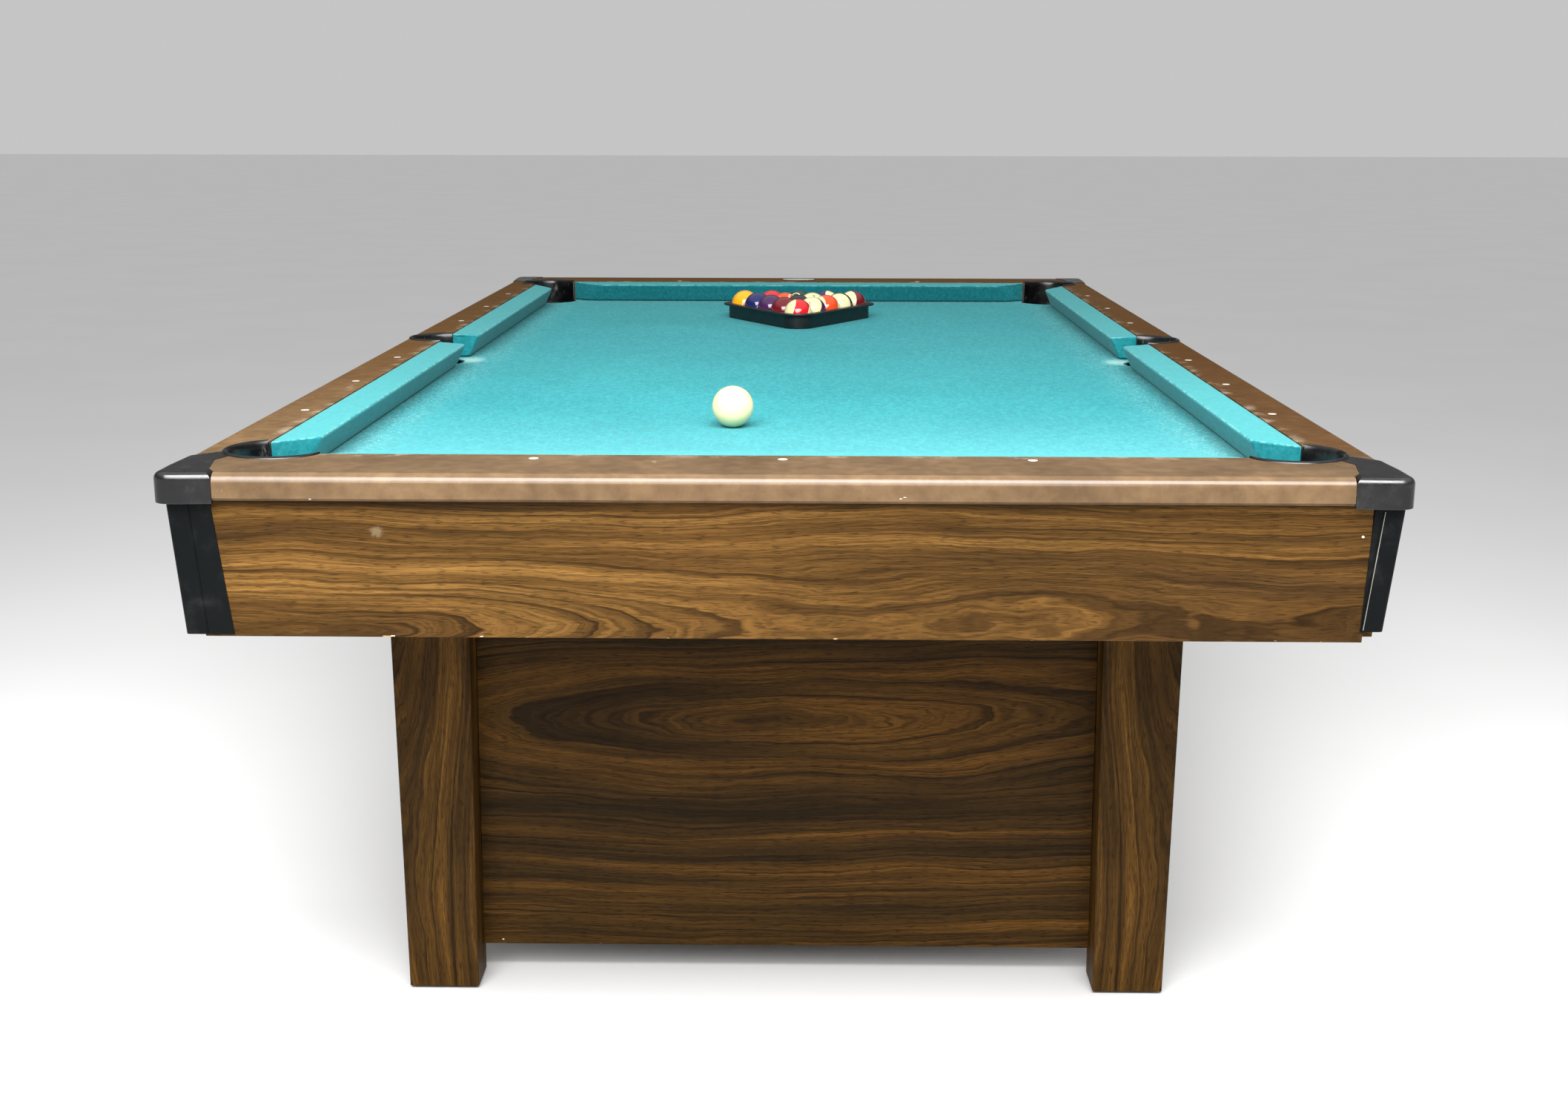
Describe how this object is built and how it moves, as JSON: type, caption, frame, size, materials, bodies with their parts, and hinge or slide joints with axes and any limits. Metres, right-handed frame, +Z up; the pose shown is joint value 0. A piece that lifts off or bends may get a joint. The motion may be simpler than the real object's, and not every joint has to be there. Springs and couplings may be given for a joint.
{
  "type": "pool table",
  "caption": "Pocket billiards table with cloth-covered cushions, drop pockets, brown laminate cabinet on pedestal legs, with racked balls and cue ball.",
  "frame": {"origin": "on the floor under the middle of the table", "axes": "+Y along the table from the head (cue ball) end to the foot (rack) end, +X to the right seen from the head end, +Z up"},
  "size_m": [1.354, 2.588, 0.8012],
  "materials": {
    "slate": "honed",
    "cloth": "napped",
    "rail_laminate": "satin laminate on board",
    "cushion_cloth": "cloth over rubber",
    "pocket_plastic": "glossy",
    "cap_plastic": "glossy",
    "walnut_print": "satin laminate on board",
    "trim_plastic": "glossy",
    "frame_timber": "bare",
    "leg_wood": "satin",
    "leveller_steel": "plated",
    "bolt_steel": "zinc plated",
    "sight_pearl": "pearly",
    "plate_white": "glossy",
    "ball_cream": "polished",
    "rack_plastic": "satin",
    "ball_yellow": "polished",
    "ball_yellow_stripe": "polished, cream poles",
    "ball_blue": "polished",
    "ball_blue_stripe": "polished, cream poles",
    "ball_red": "polished",
    "ball_red_stripe": "polished, cream poles",
    "ball_purple": "polished",
    "ball_purple_stripe": "polished, cream poles",
    "ball_orange": "polished",
    "ball_orange_stripe": "polished, cream poles",
    "ball_green": "polished",
    "ball_green_stripe": "polished, cream poles",
    "ball_maroon": "polished",
    "ball_maroon_stripe": "polished, cream poles",
    "ball_black": "polished"
  },
  "bodies": {
    "table": {"apron_foot": "walnut_print", "apron_head": "walnut_print", "apron_left": "walnut_print", "apron_right": "walnut_print", "apron_trims": "trim_plastic", "bed_cloth": "cloth", "cap_foot_left": "cap_plastic", "cap_foot_right": "cap_plastic", "cap_head_left": "cap_plastic", "cap_head_right": "cap_plastic", "corner_blocks": "frame_timber", "cushion_foot": "cushion_cloth", "cushion_foot_left": "cushion_cloth", "cushion_foot_right": "cushion_cloth", "cushion_head": "cushion_cloth", "cushion_head_left": "cushion_cloth", "cushion_head_right": "cushion_cloth", "frame_bolts": "bolt_steel", "leg_foot_left": "leg_wood", "leg_foot_right": "leg_wood", "leg_head_left": "leg_wood", "leg_head_right": "leg_wood", "nameplate": "plate_white", "panel_foot": "leg_wood", "panel_head": "leg_wood", "pocket_foot_left": "pocket_plastic", "pocket_foot_right": "pocket_plastic", "pocket_head_left": "pocket_plastic", "pocket_head_right": "pocket_plastic", "pocket_side_left": "pocket_plastic", "pocket_side_right": "pocket_plastic", "rail_foot": "rail_laminate", "rail_head": "rail_laminate", "rail_left": "rail_laminate", "rail_right": "rail_laminate", "sights": "sight_pearl", "sills": "frame_timber", "slate_bed": "slate", "stringers": "frame_timber"},
    "cue_ball": {"cue_ball": "ball_cream"},
    "rack": {"rack": "rack_plastic"},
    "ball_01": {"ball_01": "ball_yellow"},
    "ball_02": {"ball_02": "ball_blue"},
    "ball_03": {"ball_03": "ball_red"},
    "ball_04": {"ball_04": "ball_purple"},
    "ball_05": {"ball_05": "ball_orange"},
    "ball_06": {"ball_06": "ball_green"},
    "ball_07": {"ball_07": "ball_maroon"},
    "ball_08": {"ball_08": "ball_black"},
    "ball_09": {"ball_09": "ball_yellow_stripe"},
    "ball_10": {"ball_10": "ball_blue_stripe"},
    "ball_11": {"ball_11": "ball_red_stripe"},
    "ball_12": {"ball_12": "ball_purple_stripe"},
    "ball_13": {"ball_13": "ball_orange_stripe"},
    "ball_14": {"ball_14": "ball_green_stripe"},
    "ball_15": {"ball_15": "ball_maroon_stripe"},
    "leveller_head_left": {"leveller_head_left": "leveller_steel"},
    "leveller_head_right": {"leveller_head_right": "leveller_steel"},
    "leveller_foot_left": {"leveller_foot_left": "leveller_steel"},
    "leveller_foot_right": {"leveller_foot_right": "leveller_steel"}
  },
  "joints": [
    {"name": "cue_ball_roll", "type": "slide", "parent": "table", "child": "cue_ball", "axis": [0, 1, 0], "range_m": [-0.38, 1.2]},
    {"name": "ball_01_lift", "type": "slide", "parent": "table", "child": "ball_01", "axis": [0, 0, 1], "range_m": [0, 0.2]},
    {"name": "ball_02_lift", "type": "slide", "parent": "table", "child": "ball_02", "axis": [0, 0, 1], "range_m": [0, 0.2]},
    {"name": "ball_03_lift", "type": "slide", "parent": "table", "child": "ball_03", "axis": [0, 0, 1], "range_m": [0, 0.2]},
    {"name": "ball_04_lift", "type": "slide", "parent": "table", "child": "ball_04", "axis": [0, 0, 1], "range_m": [0, 0.2]},
    {"name": "ball_05_lift", "type": "slide", "parent": "table", "child": "ball_05", "axis": [0, 0, 1], "range_m": [0, 0.2]},
    {"name": "ball_06_lift", "type": "slide", "parent": "table", "child": "ball_06", "axis": [0, 0, 1], "range_m": [0, 0.2]},
    {"name": "ball_07_lift", "type": "slide", "parent": "table", "child": "ball_07", "axis": [0, 0, 1], "range_m": [0, 0.2]},
    {"name": "ball_08_lift", "type": "slide", "parent": "table", "child": "ball_08", "axis": [0, 0, 1], "range_m": [0, 0.2]},
    {"name": "ball_09_lift", "type": "slide", "parent": "table", "child": "ball_09", "axis": [0, 0, 1], "range_m": [0, 0.2]},
    {"name": "ball_10_lift", "type": "slide", "parent": "table", "child": "ball_10", "axis": [0, 0, 1], "range_m": [0, 0.2]},
    {"name": "ball_11_lift", "type": "slide", "parent": "table", "child": "ball_11", "axis": [0, 0, 1], "range_m": [0, 0.2]},
    {"name": "ball_12_lift", "type": "slide", "parent": "table", "child": "ball_12", "axis": [0, 0, 1], "range_m": [0, 0.2]},
    {"name": "ball_13_lift", "type": "slide", "parent": "table", "child": "ball_13", "axis": [0, 0, 1], "range_m": [0, 0.2]},
    {"name": "ball_14_lift", "type": "slide", "parent": "table", "child": "ball_14", "axis": [0, 0, 1], "range_m": [0, 0.2]},
    {"name": "ball_15_lift", "type": "slide", "parent": "table", "child": "ball_15", "axis": [0, 0, 1], "range_m": [0, 0.2]},
    {"name": "rack_lift", "type": "slide", "parent": "table", "child": "rack", "axis": [0, 0, 1], "range_m": [0, 0.3]},
    {"name": "leveller_head_left_screw", "type": "slide", "parent": "table", "child": "leveller_head_left", "axis": [0, 0, -1], "range_m": [0, 0.02]},
    {"name": "leveller_head_right_screw", "type": "slide", "parent": "table", "child": "leveller_head_right", "axis": [0, 0, -1], "range_m": [0, 0.02]},
    {"name": "leveller_foot_left_screw", "type": "slide", "parent": "table", "child": "leveller_foot_left", "axis": [0, 0, -1], "range_m": [0, 0.02]},
    {"name": "leveller_foot_right_screw", "type": "slide", "parent": "table", "child": "leveller_foot_right", "axis": [0, 0, -1], "range_m": [0, 0.02]}
  ]
}
